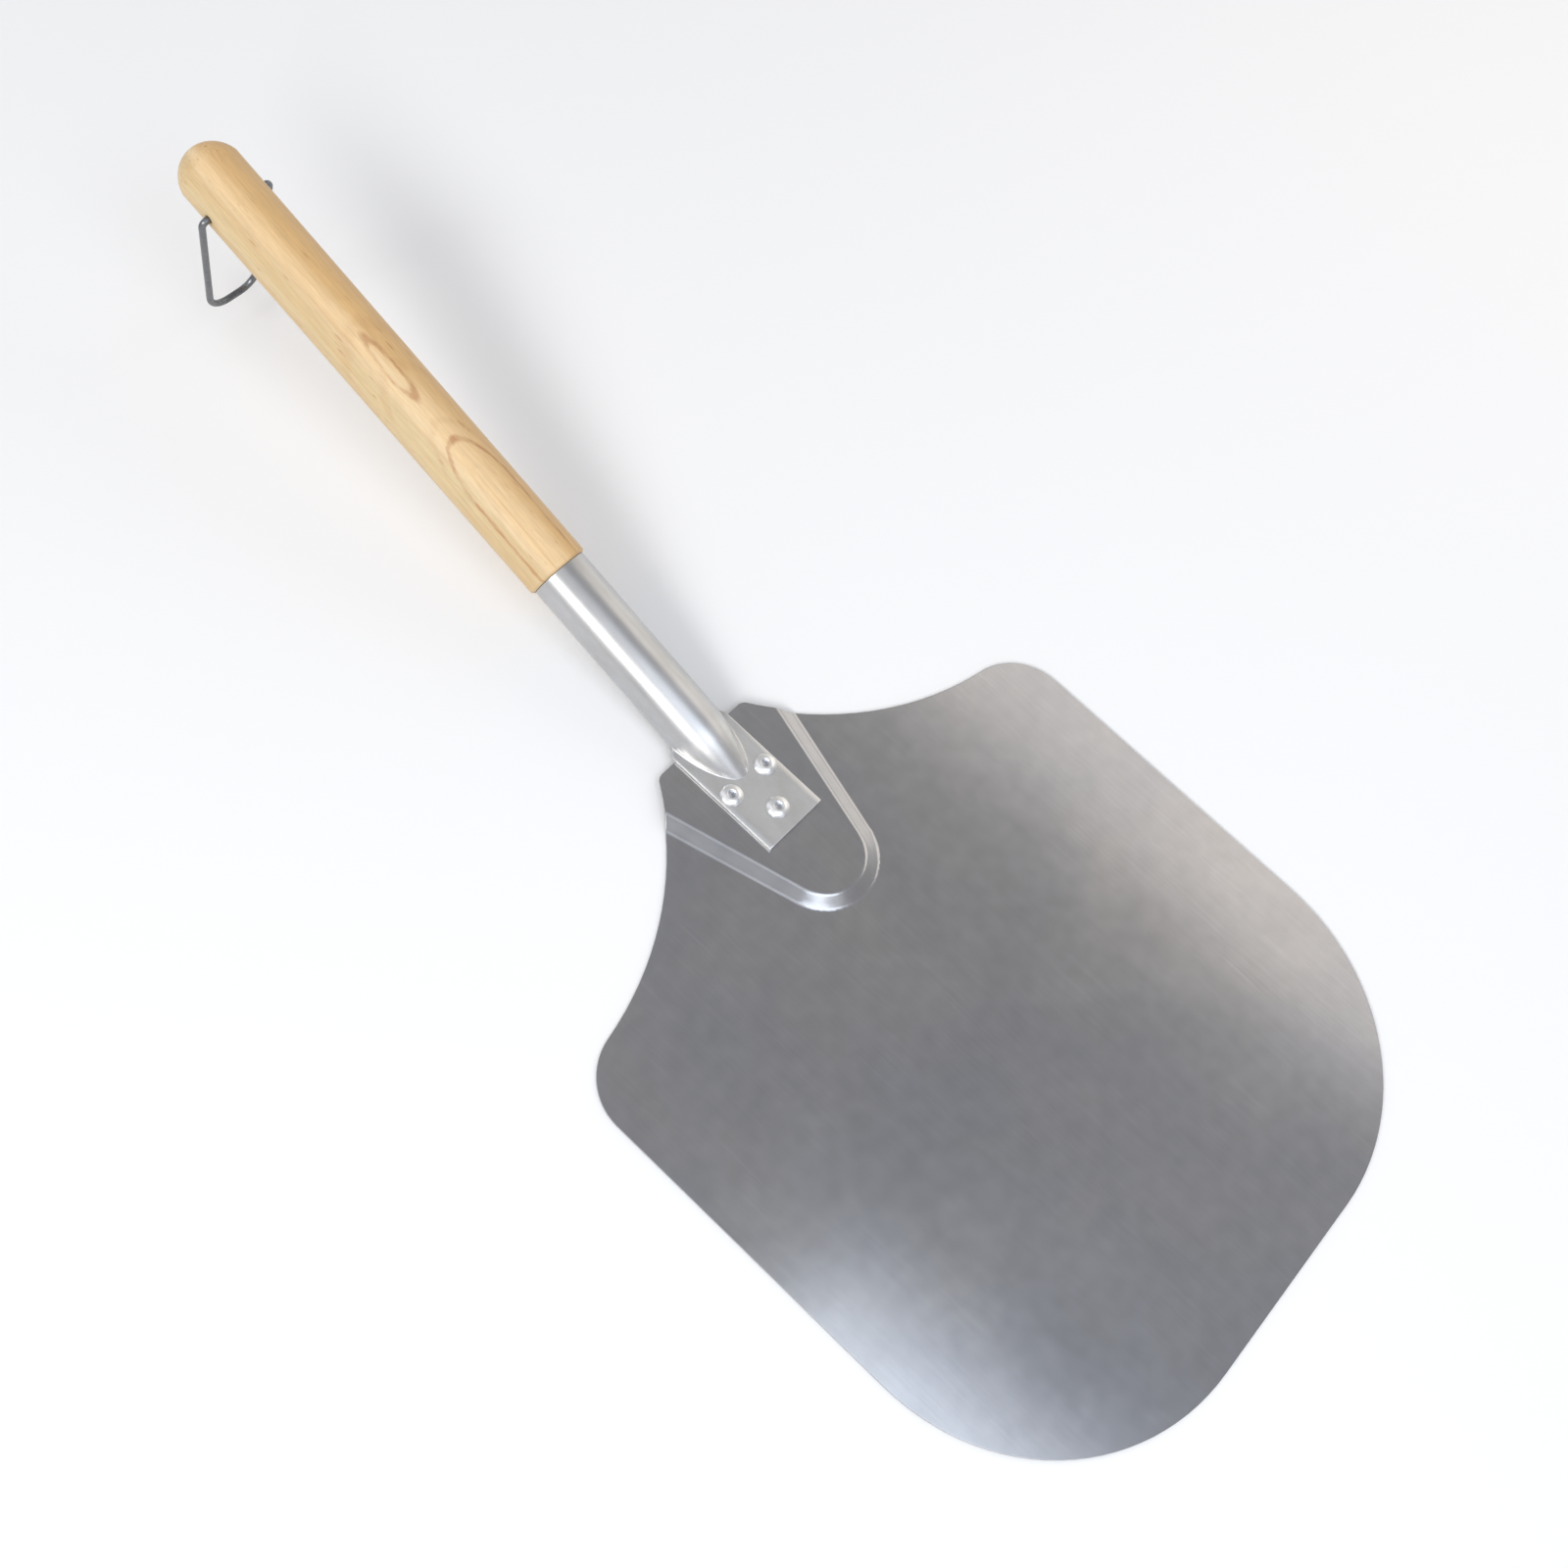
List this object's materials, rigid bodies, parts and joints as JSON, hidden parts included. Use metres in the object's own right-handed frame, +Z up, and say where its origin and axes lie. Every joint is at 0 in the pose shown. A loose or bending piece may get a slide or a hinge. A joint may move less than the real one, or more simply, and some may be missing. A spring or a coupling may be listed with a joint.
{
  "type": "pizza peel",
  "caption": "Flat metal pizza peel with large rounded corners, a riveted tube socket, an angled wooden handle and a swinging wire hanging loop.",
  "frame": {"origin": "centre of the blade's flat underside, on the surface that it lies on", "axes": "+Z up, +Y from the handle towards the blade's front edge, +X to the right of a user who holds the handle and looks along +Y"},
  "size_m": [0.3048, 0.6743, 0.1059],
  "materials": {
    "blade_metal": "satin rolled sheet",
    "socket_metal": "satin drawn tube",
    "rivet_metal": "smooth",
    "handle_wood": "satin clear-sealed beech",
    "pin_steel": "plain",
    "loop_steel": "drawn wire"
  },
  "bodies": {
    "peel": {"blade": "blade_metal", "socket": "socket_metal", "handle": "handle_wood", "rivet_left": "rivet_metal", "rivet_right": "rivet_metal", "rivet_front": "rivet_metal", "handle_pin": "pin_steel"},
    "loop": {"hanging_loop": "loop_steel"}
  },
  "joints": [
    {"name": "loop_swing", "type": "hinge", "parent": "peel", "child": "loop", "pos_m": [0, -0.47165, 0.08689], "axis": [1, 0, 0], "range_deg": [-260, 66]}
  ]
}
